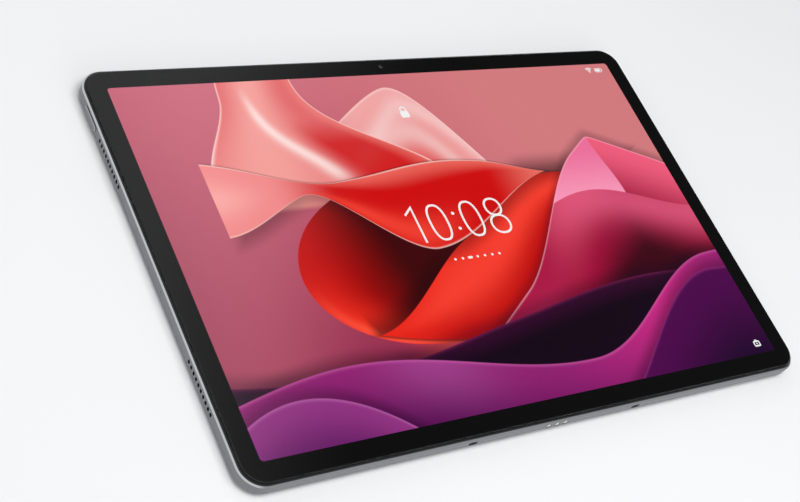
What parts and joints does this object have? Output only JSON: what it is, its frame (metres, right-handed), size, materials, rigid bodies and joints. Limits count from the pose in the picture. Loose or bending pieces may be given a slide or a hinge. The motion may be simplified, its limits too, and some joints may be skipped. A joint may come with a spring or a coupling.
{
  "type": "tablet computer",
  "caption": "Thin tablet computer with a glass front in a black border, a metal tray body, speaker slots in both side walls and a raised rear camera island.",
  "frame": {"origin": "centre of the flat rear face", "axes": "+X to the right of the screen, +Y towards its top edge, +Z out of the screen"},
  "size_m": [0.2938, 0.1912, 0.0084],
  "materials": {
    "aluminium": "anodised storm grey, polished chamfers",
    "cover": "matt metallic paint",
    "marker": "matt metallic paint",
    "badge": "brushed, blank",
    "island": "gloss with polished bevel",
    "bright_ring": "polished",
    "lens_glass": "clear, coated",
    "diffuser": "frosted",
    "lamp": "phosphor yellow-white",
    "camera_black": "fine matt black",
    "key_metal": "anodised, satin",
    "cover_glass": "polished, rounded edge",
    "black_frame": "fine matt black",
    "border_ink": "printed black ink",
    "tape": "black foam adhesive",
    "screen": "lit display",
    "backlight": "white film stack in a steel tray",
    "plate": "stamped sheet",
    "shield": "tinned sheet",
    "board": "solder mask",
    "flex": "polyimide film",
    "black_plastic": "moulded",
    "mesh": "woven, blackened",
    "switch": "stamped",
    "contact": "nickel and gold plated",
    "magnet": "nickel plated",
    "graphite": "graphite film",
    "battery": "laminated foil pouch",
    "screw": "blackened"
  },
  "bodies": {
    "tablet": {"rear_housing": "aluminium", "antenna_cover": "cover", "pen_marker": "marker", "badge_plate": "badge", "camera_plate": "island", "lens_ring": "bright_ring", "flash_ring": "bright_ring", "lens_window": "lens_glass", "lens_element": "lens_glass", "flash_window": "diffuser", "flash_lamp": "lamp", "rear_camera": "camera_black", "front_camera": "camera_black", "cover_glass": "cover_glass", "display_frame": "black_frame", "pogo_block": "black_frame", "border_print": "border_ink", "display_tape": "tape", "display_panel": "screen", "backlight_unit": "backlight", "mid_plate": "plate", "card_reader": "shield", "usb_shell": "shield", "processor_shield": "shield", "radio_shield": "shield", "main_board": "board", "usb_board": "board", "battery_board": "board", "flash_board": "board", "usb_flex": "flex", "battery_cable": "flex", "display_flex": "flex", "camera_flex": "flex", "usb_tongue": "black_plastic", "upper_left_speaker": "black_plastic", "upper_right_speaker": "black_plastic", "lower_left_speaker": "black_plastic", "lower_right_speaker": "black_plastic", "left_antenna": "black_plastic", "right_antenna": "black_plastic", "upper_left_mesh": "mesh", "upper_right_mesh": "mesh", "lower_left_mesh": "mesh", "lower_right_mesh": "mesh", "power_switch": "switch", "volume_switches": "switch", "side_microphone": "switch", "top_microphone": "switch", "pogo_contacts": "contact", "pen_magnets": "magnet", "dock_magnets": "magnet", "heat_spreader": "graphite", "battery_left": "battery", "battery_right": "battery", "plate_screws": "screw", "board_screws": "screw"},
    "power_key": {"power_button": "key_metal"},
    "volume_key": {"volume_rocker": "key_metal"},
    "card_drawer": {"card_tray": "key_metal"}
  },
  "joints": [
    {"name": "power_press", "type": "slide", "parent": "tablet", "child": "power_key", "axis": [1, 0, 0], "range_m": [0, 0.00025], "stiffness_N_per_m": 1500},
    {"name": "volume_rock", "type": "hinge", "parent": "tablet", "child": "volume_key", "pos_m": [-0.104, 0.09292, 0.00315], "axis": [0, 0, 1], "range_deg": [-1.5, 1.5], "stiffness_Nm_per_rad": 0.3},
    {"name": "card_slide", "type": "slide", "parent": "tablet", "child": "card_drawer", "axis": [0, 1, 0], "range_m": [0, 0.018]}
  ]
}
